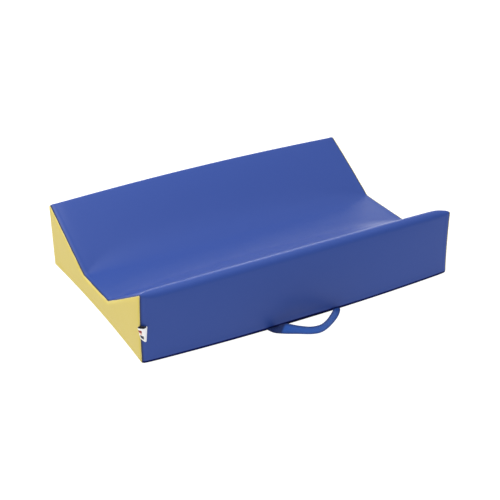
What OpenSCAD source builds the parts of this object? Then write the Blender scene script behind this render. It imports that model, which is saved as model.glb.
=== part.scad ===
// Contoured foam mat in a zipped vinyl cover: two long wedges with a flat
// channel between them, and a webbing handle on the front bottom seam.
// Frame: X along the length, -Y the handle side, +Z up.
// Origin: the middle of the underside.

/* [Foam body] */
// Length of the mat along X
mat_length = 900; // [880:10:1000]
// Width of the mat at its two ends, along Y
mat_width = 590; // [580:5:620]
// Width of the flat channel floor
channel_width = 190; // [160:5:220]
// Height of the channel floor above the ground
channel_height = 73; // [60:1:90]
// Slope of the two wedges, in degrees
slope_angle = 28.6; // [24:0.1:31]
// How far the long front face bows out at its middle
front_bow = 18; // [14:1:22]
// How far each end face dips in at its middle
end_dish = 8; // [5:1:12]

/* [Cover] */
// Thickness of the vinyl
vinyl = 1; // [0.8:0.1:1.2]
// Thickness of the non-slip cloth underneath
base_cloth = 1.5; // [1.2:0.1:1.8]

/* [Zip] */
// Height of the chain above the ground
zip_height = 24; // [22:1:28]
// Length of the closed chain
zip_length = 830; // [820:5:840]
// Width of the gap in the cover that shows the chain
zip_window = 12; // [12:0.5:14]

/* [Handle] */
// Width of the webbing
strap_width = 25; // [20:1:28]
// Thickness of the webbing
strap_thick = 1.6; // [1.2:0.1:1.8]
// Middle of the handle's left end along the seam
strap_left = -111.5; // [-125:0.5:-100]
// Middle of the handle's right end along the seam
strap_right = 87.5; // [80:0.5:100]

/* [Label] */
// Height of the folded label in the front left seam
tag_height = 41; // [30:1:50]
// Height of the label's lower edge above the ground
tag_base = 58; // [40:1:90]
// How far the label's loop stands out of the seam
tag_reach = 24; // [16:1:28]

/* [Hidden] */
$fn = 96;

// Play between parts that move past each other
play = 0.4;
// Small overshoot for clean cuts
cut = 1;
// Reach of the slabs that are trimmed to the plan outline
far = 500;

half_length = mat_length / 2;
half_width = mat_width / 2;
half_channel = channel_width / 2;
front_radius = (half_length * half_length + front_bow * front_bow) / (2 * front_bow);
front_centre = front_radius - half_width - front_bow;
dish_radius = (half_width * half_width + end_dish * end_dish) / (2 * end_dish);
dish_centre = half_length - end_dish + dish_radius;
seam_y = -half_width - front_bow;

// Zip stack, measured along Y from the cover's outer face inwards and outwards
back_face = half_width;
tape_thick = 0.8;
tape_face = back_face - vinyl;
tape_width = 13.8;
chain_gap = 2;
row_height = 2.6;
row_depth = 2.4;
stop_length = 3.5;
plate_thick = 1.5;
slider_x = -zip_length / 2 + 11;
slider_length = 14;
slider_height = 11;
outer_plate = tape_face + row_depth + play;
inner_plate = tape_face - tape_thick - play - plate_thick;
recess_face = inner_plate - play;
hem_gap = 3;
recess_low = 6;
recess_high = 44;
post_width = 1.2;
bridge_half = 4;
bridge_leg = 1.2;
bridge_rise = 3.2;
bridge_width = 3;
pin_radius = 0.6;
pin_y = outer_plate + plate_thick + (bridge_rise - bridge_leg) / 2;
tab_length = 26;
tab_width = 8;
tab_thick = 1;
tab_start = 5;
tab_arm = 1.4;

// Handle ends
tail_length = 26;
tail_base = base_cloth;
tail_top = base_cloth + strap_thick;
strap_mid_z = base_cloth + strap_thick / 2;
bartack_thick = 0.5;
// Stations of the webbing: lower edge, then the edge that stands above it
strap_low = [
    [strap_left - strap_width / 2, seam_y - 0.2, strap_mid_z],
    [-124, -324, 2.3], [-119, -337, 1.6], [-104, -347, 1], [-82, -358, 0.8],
    [-58, -373, 0.8], [-33, -389, 0.8], [-9, -396, 0.8], [16, -389, 0.8],
    [40, -374, 0.9], [62, -357, 1], [80, -340, 1.2], [93, -325, 2],
    [strap_right + strap_width / 2, seam_y - 0.2, strap_mid_z]
];
strap_high = [
    [strap_left + strap_width / 2, seam_y - 0.2, strap_mid_z],
    [-99.5, -321, 4], [-98, -327, 10], [-93, -339, 18], [-79, -356, 25.2],
    [-58.5, -374, 25.8], [-35, -393, 25.4], [-9, -398, 25.7], [15.4, -387, 25.7],
    [37, -369, 25.3], [55, -350, 23], [67, -334, 17], [72, -322, 7],
    [strap_right - strap_width / 2, seam_y - 0.2, strap_mid_z]
];
// Steps between two neighbouring stations
strap_steps = 3;

// Label loop: wall and the bend of its drop shape
tag_wall = 0.5;
tag_bulge = 5.5;
tag_lean = 16;

function unit(v) = v / norm(v);
function smooth_point(a, b, c, d, t) =
    0.5 * (2 * b + (c - a) * t + (2 * a - 5 * b + 4 * c - d) * t * t
    + (3 * b - a - 3 * c + d) * t * t * t);
function smooth_path(p, steps) = [
    for (i = [0 : len(p) - 2], k = [0 : steps - 1])
        smooth_point(p[max(i - 1, 0)], p[i], p[i + 1], p[min(i + 2, len(p) - 1)], k / steps),
    p[len(p) - 1]
];
// Corners of the webbing's section at one station
function strap_ring(low, high, ahead) =
    let (across = unit(high - low), side = unit(cross(ahead, across)) * strap_thick / 2)
    [low - side, high - side, high + side, low + side];
function strap_rings(low, high) = [
    for (i = [0 : len(low) - 1])
        let (
            a = max(i - 1, 0),
            b = min(i + 1, len(low) - 1),
            ahead = unit(low[b] + high[b] - low[a] - high[a])
        )
        each strap_ring(low[i], high[i], ahead)
];
// Faces of a tube whose rings have four points each
function strap_faces(count) = [
    [0, 1, 2, 3],
    for (i = [0 : count - 2], k = [0 : 3])
        let (n = (k + 1) % 4)
        each [
            [4 * i + k, 4 * i + 4 + k, 4 * i + 4 + n],
            [4 * i + k, 4 * i + 4 + n, 4 * i + n]
        ],
    [4 * count - 1, 4 * count - 2, 4 * count - 3, 4 * count - 4]
];
// Drop-shaped outline of the label's loop, inset from its outer face
function tag_outline(inset) = [
    for (t = [0 : 10 : 350])
        [(tag_bulge - inset) * sin(t) * sin(t / 2), -(tag_reach / 2 - inset) * (1 - cos(t)) - inset]
];

// Height of the wedge's face at a distance from the middle
function slope_top(y, inset) =
    channel_height + tan(slope_angle) * (y - half_channel) - inset / cos(slope_angle);
function floor_half(inset) =
    half_channel + inset * (1 / cos(slope_angle) - 1) / tan(slope_angle);

// Outline of the mat seen from above, inset on the long sides and at the ends
module plan(inset, end_inset, low, high) {
    intersection() {
        translate([0, front_centre, low])
            cylinder(h = high - low, r = front_radius - inset, $fn = 256);
        difference() {
            translate([-far, -far, low])
                cube([2 * far, far + half_width - inset, high - low]);
            for (side = [-1, 1])
                translate([side * (dish_centre - end_inset), 0, low - cut])
                    cylinder(h = high - low + 2 * cut, r = dish_radius, $fn = 256);
        }
    }
}

// Space under the two slopes and the channel floor
module trough(inset, low) {
    rotate([90, 0, 90])
        linear_extrude(height = 2 * far, center = true)
            polygon([
                [-far, low], [far, low], [far, slope_top(far, inset)],
                [floor_half(inset), channel_height - inset],
                [-floor_half(inset), channel_height - inset],
                [-far, slope_top(far, inset)]
            ]);
}

module body(inset, end_inset, low) {
    intersection() {
        plan(inset, end_inset, low, far);
        trough(inset, low);
    }
}

module tail_space(extra) {
    for (x = [strap_left, strap_right])
        translate([x - strap_width / 2 - play, seam_y - cut, 0])
            cube([strap_width + 2 * play, tail_length + cut + play, tail_top + extra]);
}

module zip_space() {
    translate([-half_length, recess_face, recess_low])
        cube([mat_length, far, recess_high - recess_low]);
}

module foam_base_slab() {
    color("ivory")
        difference() {
            plan(vinyl, vinyl, base_cloth, channel_height - vinyl);
            zip_space();
            tail_space(bartack_thick + play);
        }
}

module foam_wedge(side) {
    base = channel_height - vinyl;
    intersection() {
        plan(vinyl, vinyl, base_cloth, far);
        rotate([90, 0, 90])
            linear_extrude(height = 2 * far, center = true)
                polygon([
                    [side * floor_half(vinyl), base],
                    [side * far, base],
                    [side * far, slope_top(far, vinyl)]
                ]);
    }
}

module foam_front_wedge() {
    color("ivory") foam_wedge(-1);
}

module foam_back_wedge() {
    color("ivory") foam_wedge(1);
}

module cover_wrap_panel() {
    color("royalblue")
        difference() {
            body(0, vinyl, base_cloth);
            body(vinyl, -cut, base_cloth - cut);
            translate([-far, 0, 0])
                cube([2 * far, far, zip_height + zip_window / 2]);
            tail_space(play);
        }
}

module cover_end_panel(side) {
    intersection() {
        difference() {
            body(0, 0, base_cloth);
            body(-cut, vinyl, base_cloth - cut);
        }
        translate([side > 0 ? 0 : -far, -far, 0])
            cube([far, 2 * far, far]);
    }
}

module cover_end_panel_left() {
    color("khaki") cover_end_panel(-1);
}

module cover_end_panel_right() {
    color("khaki") cover_end_panel(1);
}

module cover_base_panel() {
    color("dimgray") plan(0, 0, 0, base_cloth);
}

module cover_hem_strip() {
    color("royalblue")
        translate([-half_length + hem_gap, back_face - vinyl, base_cloth])
            cube([mat_length - 2 * hem_gap, vinyl, zip_height - zip_window / 2 - base_cloth]);
}

module zip_tape() {
    translate([-zip_length / 2 - 10, tape_face - tape_thick, chain_gap / 2])
        cube([zip_length + 20, tape_thick, tape_width]);
}

module zip_teeth() {
    translate([-zip_length / 2, tape_face, chain_gap / 2])
        cube([zip_length, row_depth, row_height]);
}

module zip_tape_upper() {
    color("navy") translate([0, 0, zip_height]) zip_tape();
}

module zip_tape_lower() {
    color("navy") translate([0, 0, zip_height]) mirror([0, 0, 1]) zip_tape();
}

module zip_teeth_upper() {
    color("navy") translate([0, 0, zip_height]) zip_teeth();
}

module zip_teeth_lower() {
    color("navy") translate([0, 0, zip_height]) mirror([0, 0, 1]) zip_teeth();
}

module zip_stop(side) {
    translate([
        side > 0 ? zip_length / 2 : -zip_length / 2 - stop_length,
        tape_face,
        zip_height - chain_gap / 2 - row_height
    ])
        cube([stop_length, row_depth, chain_gap + 2 * row_height]);
}

module zip_stop_left() {
    color("silver") zip_stop(-1);
}

module zip_stop_right() {
    color("silver") zip_stop(1);
}

// Two plates joined by a post, with flanges that hold the rows together
module zip_slider_body() {
    rim = 1.1;
    flange_low = tape_face + play;
    color("silver")
        translate([slider_x, 0, zip_height]) {
            for (y = [inner_plate, outer_plate])
                translate([-slider_length / 2, y, -slider_height / 2])
                    cube([slider_length, plate_thick, slider_height]);
            translate([-slider_length / 2, inner_plate, -post_width / 2])
                cube([bridge_half, outer_plate - inner_plate + plate_thick, post_width]);
            for (side = [0, 1])
                mirror([0, 0, side])
                    translate([-slider_length / 2, flange_low, slider_height / 2 - rim])
                        cube([slider_length, outer_plate - flange_low + rim, rim]);
            difference() {
                translate([-bridge_half, outer_plate, -bridge_width / 2])
                    cube([2 * bridge_half, plate_thick + bridge_rise, bridge_width]);
                translate([bridge_leg - bridge_half, outer_plate + plate_thick, -bridge_width])
                    cube([2 * (bridge_half - bridge_leg), bridge_rise - bridge_leg, 2 * bridge_width]);
            }
        }
}

// Pull tab: a pin through the bridge, two arms beside it and the grip
module zip_pull_tab() {
    hole_radius = 1.8;
    color("silver")
        translate([slider_x, pin_y, zip_height]) {
            cylinder(h = tab_width - tab_arm, r = pin_radius, center = true, $fn = 24);
            for (side = [0, 1])
                mirror([0, 0, side])
                    translate([-pin_radius / 2, -tab_thick / 2, tab_width / 2 - tab_arm])
                        cube([tab_start + pin_radius, tab_thick, tab_arm]);
            difference() {
                union() {
                    translate([tab_start, -tab_thick / 2, -tab_width / 2])
                        cube([tab_length - tab_start - tab_width / 2, tab_thick, tab_width]);
                    translate([tab_length - tab_width / 2, 0, 0])
                        rotate([90, 0, 0])
                            cylinder(h = tab_thick, r = tab_width / 2, center = true, $fn = 48);
                }
                translate([tab_length - tab_width / 2, 0, 0])
                    rotate([90, 0, 0])
                        cylinder(h = 2 * tab_thick, r = hole_radius, center = true, $fn = 32);
            }
        }
}

// Webbing that leaves the seam flat, stands on its edge and comes back
module handle_strap() {
    low = smooth_path(strap_low, strap_steps);
    high = smooth_path(strap_high, strap_steps);
    color("steelblue")
        polyhedron(points = strap_rings(low, high), faces = strap_faces(len(low)), convexity = 6);
}

module handle_tail(x) {
    translate([x - strap_width / 2, seam_y + 2 * play, tail_base])
        cube([strap_width, tail_length - 2 * play, strap_thick]);
}

module handle_tail_left() {
    color("steelblue") handle_tail(strap_left);
}

module handle_tail_right() {
    color("steelblue") handle_tail(strap_right);
}

// Zigzag tacks that hold the webbing's ends, one solid for each row
module handle_bartacks() {
    tack_width = 20;
    tack_depth = 2.5;
    color("midnightblue")
        for (x = [strap_left, strap_right], row = [8, 18])
            translate([x - tack_width / 2, seam_y + row, tail_top])
                cube([tack_width, tack_depth, bartack_thick]);
}

module label_tag() {
    color("white")
        translate([-half_length, -half_width - play / 4, tag_base])
            rotate([0, 0, tag_lean])
                difference() {
                    linear_extrude(height = tag_height)
                        polygon(tag_outline(0));
                    translate([0, 0, -cut])
                        linear_extrude(height = tag_height + 2 * cut)
                            polygon(tag_outline(tag_wall));
                }
}

foam_base_slab();
foam_front_wedge();
foam_back_wedge();
cover_wrap_panel();
cover_end_panel_left();
cover_end_panel_right();
cover_base_panel();
cover_hem_strip();
zip_tape_upper();
zip_tape_lower();
zip_teeth_upper();
zip_teeth_lower();
zip_stop_left();
zip_stop_right();
zip_slider_body();
zip_pull_tab();
handle_strap();
handle_tail_left();
handle_tail_right();
handle_bartacks();
label_tag();
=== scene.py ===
import math

import bmesh
import bpy
import numpy as np
from mathutils import Matrix, Vector, kdtree


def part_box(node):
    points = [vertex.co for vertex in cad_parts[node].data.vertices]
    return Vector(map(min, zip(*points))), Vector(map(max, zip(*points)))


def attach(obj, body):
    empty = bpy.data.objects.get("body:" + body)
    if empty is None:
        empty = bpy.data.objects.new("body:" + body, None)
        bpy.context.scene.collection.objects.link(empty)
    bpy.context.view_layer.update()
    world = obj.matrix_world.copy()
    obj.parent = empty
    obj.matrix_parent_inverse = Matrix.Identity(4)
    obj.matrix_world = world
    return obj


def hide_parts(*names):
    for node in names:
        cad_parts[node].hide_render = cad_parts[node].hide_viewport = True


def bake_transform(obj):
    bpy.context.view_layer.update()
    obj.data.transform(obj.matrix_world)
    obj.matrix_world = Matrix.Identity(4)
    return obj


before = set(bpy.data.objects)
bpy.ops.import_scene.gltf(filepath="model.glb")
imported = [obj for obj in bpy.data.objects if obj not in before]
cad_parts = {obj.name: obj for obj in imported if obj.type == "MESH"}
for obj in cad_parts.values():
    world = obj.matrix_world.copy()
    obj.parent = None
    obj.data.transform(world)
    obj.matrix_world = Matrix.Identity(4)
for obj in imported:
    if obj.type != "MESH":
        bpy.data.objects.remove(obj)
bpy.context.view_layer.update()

mm = 0.001
print("frame loaded")

cameraSet = {
    "place": (-1.5068, -2.8704, 1.7646),
    "azimuth": -27.8,  # degrees, like the next two
    "elevation": 27.8,
    "roll": 1.5,
    "lens": 96.3,
    "sensor": 36,
    "clip": (0.1, 60),
}


def makeCamera(look):
    turn = math.radians(look["azimuth"])
    rise = math.radians(look["elevation"])
    tilt = math.radians(look["roll"])
    back = Vector((math.sin(turn) * math.cos(rise), -math.cos(turn) * math.cos(rise), math.sin(rise)))
    right = (-back).cross(Vector((0, 0, 1))).normalized()
    up = right.cross(-back)
    tiltedRight = right * math.cos(tilt) - up * math.sin(tilt)
    tiltedUp = right * math.sin(tilt) + up * math.cos(tilt)
    data = bpy.data.cameras.new("mainCamera")
    data.lens = look["lens"]
    data.sensor_width = look["sensor"]
    data.clip_start, data.clip_end = look["clip"]
    camera = bpy.data.objects.new("mainCamera", data)
    bpy.context.scene.collection.objects.link(camera)
    turned = Matrix((tiltedRight, tiltedUp, back)).transposed()
    camera.matrix_world = Matrix.Translation(look["place"]) @ turned.to_4x4()
    bpy.context.scene.camera = camera
    return camera


makeCamera(cameraSet)
print("camera made")


class Wire:  # one output of a node, so that sums on values read as plain sums
    def __init__(self, graph, socket):
        self.graph = graph
        self.socket = socket

    def sum(self, kind, first, second):
        return self.graph.node("ShaderNodeMath", {"operation": kind}, {0: first, 1: second})

    def __add__(self, other):
        return self.sum("ADD", self, other)

    def __radd__(self, other):
        return self.sum("ADD", other, self)

    def __sub__(self, other):
        return self.sum("SUBTRACT", self, other)

    def __rsub__(self, other):
        return self.sum("SUBTRACT", other, self)

    def __mul__(self, other):
        return self.sum("MULTIPLY", self, other)

    def __rmul__(self, other):
        return self.sum("MULTIPLY", other, self)


class Graph:  # the nodes of one material
    def __init__(self, name):
        self.material = bpy.data.materials.new(name)
        self.material.use_nodes = True
        self.tree = self.material.node_tree
        self.shader = self.tree.nodes["Principled BSDF"]

    def node(self, kind, settings=None, values=None, out=0):
        made = self.tree.nodes.new(kind)
        for name, value in (settings or {}).items():
            setattr(made, name, value)
        for name, value in (values or {}).items():
            self.feed(made.inputs[name], value)
        return Wire(self, made.outputs[out])

    def feed(self, socket, value):
        if isinstance(value, Wire):
            self.tree.links.new(value.socket, socket)
        else:
            socket.default_value = value

    def mix(self, factor, first, second):  # colours
        return self.node("ShaderNodeMix", {"data_type": "RGBA"}, {0: factor, 6: first, 7: second}, out=2)

    def place(self):  # where a point lies, in metres
        return self.node("ShaderNodeTexCoord", out="Object")

    def scaled(self, vector, factors):
        return self.node("ShaderNodeVectorMath", {"operation": "MULTIPLY"}, {0: vector, 1: factors})

    def noise(self, vector, scale, detail=2.0, rough=0.5):
        values = {"Vector": vector, "Scale": scale, "Detail": detail, "Roughness": rough}
        return self.node("ShaderNodeTexNoise", None, values)

    def carried(self, name):  # a number stored on the mesh's points
        return self.node("ShaderNodeAttribute", {"attribute_name": name}, None, out="Fac")

    def cells(self, vector, feature, scale):
        return self.node("ShaderNodeTexVoronoi", {"feature": feature}, {"Vector": vector, "Scale": scale})

    def bands(self, vector, direction, scale, distortion, detail=2.0):  # threads, knit or twist
        values = {"Vector": vector, "Scale": scale, "Distortion": distortion, "Detail": detail}
        return self.node("ShaderNodeTexWave", {"wave_type": "BANDS", "bands_direction": direction}, values)

    def bump(self, height, distance, strength=1.0, normal=None):
        values = {"Height": height, "Distance": distance, "Strength": strength}
        if normal is not None:
            values["Normal"] = normal
        return self.node("ShaderNodeBump", None, values)

    def finish(self, **values):
        for name, value in values.items():
            self.feed(self.shader.inputs[name.replace("_", " ")], value)
        return self.material


def rgba(red, green, blue):  # a paint colour given as screen values from 0 to 1
    def toLinear(value):
        return value / 12.92 if value <= 0.04045 else ((value + 0.055) / 1.055) ** 2.4

    return (toLinear(red), toLinear(green), toLinear(blue), 1.0)


vinylLook = {
    # each vinyl: its colour, its worn colour, and a painted shading colour, dark painted shade on the blue
    # and a light painted highlight on the yellow
    "blueVinyl": (rgba(0.130, 0.253, 0.555), rgba(0.200, 0.320, 0.620), rgba(0.030, 0.050, 0.170)),
    "yellowVinyl": (rgba(0.770, 0.692, 0.300), rgba(0.860, 0.790, 0.340), rgba(0.860, 0.810, 0.580)),
    "cloudScale": 5.0,
    "fineScale": 90.0,
    "fadeDepth": 0.10,
    "wearDepth": 0.45,
    "roughness": 0.46,
    "roughSpread": 0.10,
    "wearRoughness": 0.08,
    "grainScale": 620.0,  # embossed grain, cells about 1.6 mm across
    "poreScale": 1364.0,
    "grainDepth": 0.00009,
    "slackScale": 14.0,  # soft hollows where the vinyl isn't drawn tight
    "slackDepth": 0.0022,
    "slackStrength": 0.35,
    "specular": 0.34,
}


def vinylMaterial(name, look):
    colour, worn, shadingTint = look[name]
    graph = Graph(name)
    where = graph.place()
    broad = graph.noise(where, look["cloudScale"], 3.0)
    fine = graph.noise(where, look["fineScale"], 4.0, 0.6)
    wearAndHighlight = graph.carried("wearAndHighlight")
    shade = graph.mix(broad * look["fadeDepth"], colour, worn)
    shade = graph.mix(fine * wearAndHighlight * look["wearDepth"], shade, worn)
    # painted shading: shade in the seam grooves, at the foot and above the handle on the blue, a highlight
    # rim along the seams on the yellow
    shade = graph.mix(graph.carried("paintedShading"), shade, shadingTint)
    spread = (broad - 0.5) * look["roughSpread"] + (fine - 0.5) * look["roughSpread"]
    grain = graph.cells(where, "DISTANCE_TO_EDGE", look["grainScale"])
    pores = graph.noise(where, look["poreScale"])
    slack = graph.bump(graph.noise(where, look["slackScale"]), look["slackDepth"], look["slackStrength"])
    return graph.finish(
        Base_Color=shade, Roughness=look["roughness"] + spread + wearAndHighlight * look["wearRoughness"],
        Normal=graph.bump(grain * 0.8 + pores * 0.4, look["grainDepth"], 1.0, slack),
        Specular_IOR_Level=look["specular"],
    )


gripLook = {
    "nonslipCloth": (rgba(0.10, 0.11, 0.14), rgba(0.17, 0.18, 0.22)),
    "gripRubber": (rgba(0.24, 0.25, 0.29), rgba(0.31, 0.32, 0.36)),
    "cloudScale": 40.0,
    "roughness": 0.78,
    "roughSpread": 0.2,
    "threadScale": 260.0,
    "threadDepth": 0.00015,
    "specular": 0.3,
}


def gripMaterial(name, look):
    graph = Graph(name)
    where = graph.place()
    threads = graph.bands(where, "DIAGONAL", look["threadScale"], 0.6, 1.0)
    cloud = graph.noise(where, look["cloudScale"], 4.0)
    return graph.finish(
        Base_Color=graph.mix(cloud, *look[name]),
        Roughness=look["roughness"] + (cloud - 0.5) * look["roughSpread"],
        Normal=graph.bump(threads, look["threadDepth"]), Specular_IOR_Level=look["specular"],
    )


foamLook = {
    "colours": (rgba(0.95, 0.93, 0.86), rgba(0.90, 0.86, 0.74)),
    "cloudScale": 18.0,
    "roughness": 0.95,
    "cellScale": 900.0,
    "cellDepth": 0.0004,
}


def foamMaterial(name, look):
    graph = Graph(name)
    where = graph.place()
    cells = graph.cells(where, "F1", look["cellScale"])
    cloud = graph.noise(where, look["cloudScale"], 3.0)
    return graph.finish(
        Base_Color=graph.mix(cloud, *look["colours"]), Roughness=look["roughness"],
        Normal=graph.bump(cells, look["cellDepth"]),
    )


webbingLook = {
    "light": rgba(0.21, 0.47, 0.84),
    "dark": rgba(0.10, 0.21, 0.55),
    "deep": rgba(0.05, 0.08, 0.26),
    "ribPitch": 1.15 * mm,  # warp ribs across the width
    "pickPitch": 1.5 * mm,  # weft picks along the length
    "pickSlant": 1.2,
    "weaveDepth": 0.00035,
    "weaveShade": 0.35,
    "fibreScale": 1500.0,
    "selvedgeShade": 0.65,
    "rootShadeDepth": 0.8,
    "roughness": 0.62,
    "roughSpread": 0.2,
    "specular": 0.35,
}


def webbingMaterial(name, look):
    graph = Graph(name)
    wave = {"operation": "SINE"}
    turns = graph.carried("across") * (2 * math.pi / look["ribPitch"])
    ribs = graph.node("ShaderNodeMath", wave, {0: turns})
    slant = graph.carried("along") * (2 * math.pi / look["pickPitch"]) + ribs * look["pickSlant"]
    weave = ribs * 0.5 + graph.node("ShaderNodeMath", wave, {0: slant}) * 0.5
    fibre = graph.noise(graph.place(), look["fibreScale"])
    shade = graph.mix(weave * look["weaveShade"] + 0.5, look["dark"], look["light"])
    shade = graph.mix(fibre * look["weaveShade"], shade, look["dark"])
    shade = graph.mix(graph.carried("selvedge") * look["selvedgeShade"], shade, look["deep"])
    # painted shade on the strap's left root
    shade = graph.mix(graph.carried("under") * look["rootShadeDepth"], shade, look["deep"])
    return graph.finish(
        Base_Color=shade, Roughness=look["roughness"] + fibre * look["roughSpread"],
        Normal=graph.bump(weave * 0.8 + fibre * 0.4, look["weaveDepth"]),
        Specular_IOR_Level=look["specular"],
    )


tapeLook = {
    "zipTapeCloth": (rgba(0.10, 0.15, 0.36), rgba(0.17, 0.24, 0.50)),
    # painted shade: colours of the dark strip along the front face's foot
    "footShadeTape": (rgba(0.03, 0.06, 0.28), rgba(0.06, 0.10, 0.36)),
    "stretch": (1.0, 1.0, 2.2),
    "knitScale": 520.0,
    "knitDepth": 0.0002,
    "roughness": 0.8,
}


def tapeMaterial(name, specular, look):
    graph = Graph(name)
    knit = graph.bands(graph.scaled(graph.place(), look["stretch"]), "X", look["knitScale"], 1.5)
    return graph.finish(
        Base_Color=graph.mix(knit, *look[name]), Roughness=look["roughness"],
        Normal=graph.bump(knit, look["knitDepth"]), Specular_IOR_Level=specular,
    )


coilLook = {
    "colours": (rgba(0.10, 0.14, 0.34), rgba(0.15, 0.20, 0.44)),
    "cloudScale": 300.0,
    "cloudDepth": 0.00005,
    "roughness": 0.32,
    "roughSpread": 0.15,
}


def coilMaterial(name, look):
    graph = Graph(name)
    cloud = graph.noise(graph.place(), look["cloudScale"], 3.0)
    return graph.finish(
        Base_Color=graph.mix(cloud, *look["colours"]),
        Roughness=look["roughness"] + cloud * look["roughSpread"],
        Normal=graph.bump(cloud, look["cloudDepth"]),
    )


nickelLook = {
    "colours": (rgba(0.80, 0.79, 0.77), rgba(0.66, 0.65, 0.63)),
    "patchScale": 120.0,
    "stretch": (1.0, 1.0, 14.0),
    "scratchScale": 260.0,
    "scratchDepth": 0.00003,
    "roughness": 0.2,
    "roughSpread": 0.25,
}


def nickelMaterial(name, look):
    graph = Graph(name)
    where = graph.place()
    scratches = graph.noise(graph.scaled(where, look["stretch"]), look["scratchScale"], 5.0, 0.7)
    patches = graph.noise(where, look["patchScale"], 3.0)
    return graph.finish(
        Base_Color=graph.mix(patches, *look["colours"]), Metallic=1.0,
        Roughness=look["roughness"] + scratches * look["roughSpread"],
        Normal=graph.bump(scratches, look["scratchDepth"]),
    )


threadLook = {
    "colours": (rgba(0.10, 0.14, 0.34), rgba(0.22, 0.30, 0.58)),
    "twistScale": 1800.0,
    "twistDepth": 0.00008,
    "roughness": 0.55,
}


def threadMaterial(name, look):
    graph = Graph(name)
    twist = graph.bands(graph.place(), "DIAGONAL", look["twistScale"], 0.4)
    return graph.finish(
        Base_Color=graph.mix(twist, *look["colours"]), Roughness=look["roughness"],
        Normal=graph.bump(twist, look["twistDepth"]),
    )


labelLook = {
    "colours": (rgba(0.95, 0.95, 0.94), rgba(0.85, 0.86, 0.88)),
    # painted shade: the dark colour of the loop's inside and far leaf, which lie in shadow
    "back": rgba(0.05, 0.06, 0.16),
    "front": (0.185, 0.73),  # between these shares of the loop it shows its printed face; outside them it is painted in shade
    "marks": [  # from and to along the loop, from and to across it, and the colour
        (0.21, 0.37, 0.60, 0.83, rgba(0.55, 0.08, 0.05)),
        (0.24, 0.36, 0.48, 0.56, rgba(0.92, 0.58, 0.36)),
        (0.25, 0.43, 0.14, 0.40, rgba(0.10, 0.14, 0.22)),
    ],
    "weaveScale": (900.0, 900.0, 2600.0),
    "weaveDepth": 0.00008,
    "roughness": 0.5,
    "roughSpread": 0.2,
    "sheen": 0.2,
}


def labelMaterial(name, look):
    graph = Graph(name)
    along = graph.carried("along")
    across = graph.carried("across")

    def between(value, low, high):
        above = graph.node("ShaderNodeMath", {"operation": "GREATER_THAN"}, {0: value, 1: low})
        below = graph.node("ShaderNodeMath", {"operation": "LESS_THAN"}, {0: value, 1: high})
        return above * below

    weave = graph.noise(graph.scaled(graph.place(), look["weaveScale"]), 1.0)
    shade = graph.mix(weave * 0.5, *look["colours"])
    for left, right, low, high, colour in look["marks"]:
        shade = graph.mix(between(along, left, right) * between(across, low, high), shade, colour)
    # painted shade beyond the printed face, inside the loop
    shade = graph.mix(1 - between(along, *look["front"]), shade, look["back"])
    return graph.finish(
        Base_Color=shade, Roughness=look["roughness"] + weave * look["roughSpread"],
        Normal=graph.bump(weave, look["weaveDepth"]), Sheen_Weight=look["sheen"],
    )


blueVinyl = vinylMaterial("blueVinyl", vinylLook)
yellowVinyl = vinylMaterial("yellowVinyl", vinylLook)
nonslipCloth = gripMaterial("nonslipCloth", gripLook)
gripRubber = gripMaterial("gripRubber", gripLook)
cutFoam = foamMaterial("cutFoam", foamLook)
handleWebbing = webbingMaterial("handleWebbing", webbingLook)
zipTapeCloth = tapeMaterial("zipTapeCloth", 0.5, tapeLook)
# almost no reflection, so the foot strip stays dark as painted shade
footShadeTape = tapeMaterial("footShadeTape", 0.05, tapeLook)
zipCoil = coilMaterial("zipCoil", coilLook)
nickelPlate = nickelMaterial("nickelPlate", nickelLook)
navyThread = threadMaterial("navyThread", threadLook)
labelRibbon = labelMaterial("labelRibbon", labelLook)
print("materials made")


def makePiece(name, points, faces, material, numbers=None):
    mesh = bpy.data.meshes.new(name)
    mesh.from_pydata([tuple(p) for p in points], [], [tuple(f) for f in faces])
    mesh.validate()
    for key, values in (numbers or {}).items():
        attribute = mesh.attributes.new(key, "FLOAT", "POINT")
        attribute.data.foreach_set("value", np.asarray(values, np.float32))
    for polygon in mesh.polygons:
        polygon.use_smooth = True
    mesh.materials.append(material)
    piece = bpy.data.objects.new(name, mesh)
    bpy.context.scene.collection.objects.link(piece)
    return piece


def applyModifiers(piece):
    held = bpy.context.evaluated_depsgraph_get()
    done = bpy.data.meshes.new_from_object(piece.evaluated_get(held))
    old = piece.data
    piece.modifiers.clear()
    piece.data = done
    bpy.data.meshes.remove(old)
    return piece


def thicken(piece, amount):  # gives a skin its thickness, inwards
    solid = piece.modifiers.new("thickness", "SOLIDIFY")
    solid.thickness = amount
    solid.offset = -1
    solid.use_even_offset = False
    return applyModifiers(piece)


def gridFaces(rows, columns, flip=False):
    faces = []
    for row in range(rows - 1):
        for column in range(columns - 1):
            a = row * columns + column
            face = (a, a + 1, a + columns + 1, a + columns)
            faces.append(face[::-1] if flip else face)
    return faces


def tubeFaces(first, rows, sides, flip=False):  # joins rounds of points, each round with as many sides
    faces = []
    for row in range(rows - 1):
        for side in range(sides):
            a = first + row * sides + side
            b = first + row * sides + (side + 1) % sides
            face = (a, b, b + sides, a + sides)
            faces.append(face[::-1] if flip else face)
    return faces


def runAlong(points):  # how far each point lies along a line of points
    return np.concatenate([[0], np.cumsum(np.linalg.norm(np.diff(points, axis=0), axis=1))])


def makeTree(points):
    tree = kdtree.KDTree(len(points))
    for index, point in enumerate(points):
        tree.insert(point, index)
    tree.balance()
    return tree


def bell(value, width, place=0):  # 1 at its place, dying out over its width on both sides
    return np.exp(-(((value - place) / width) ** 2))


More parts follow.
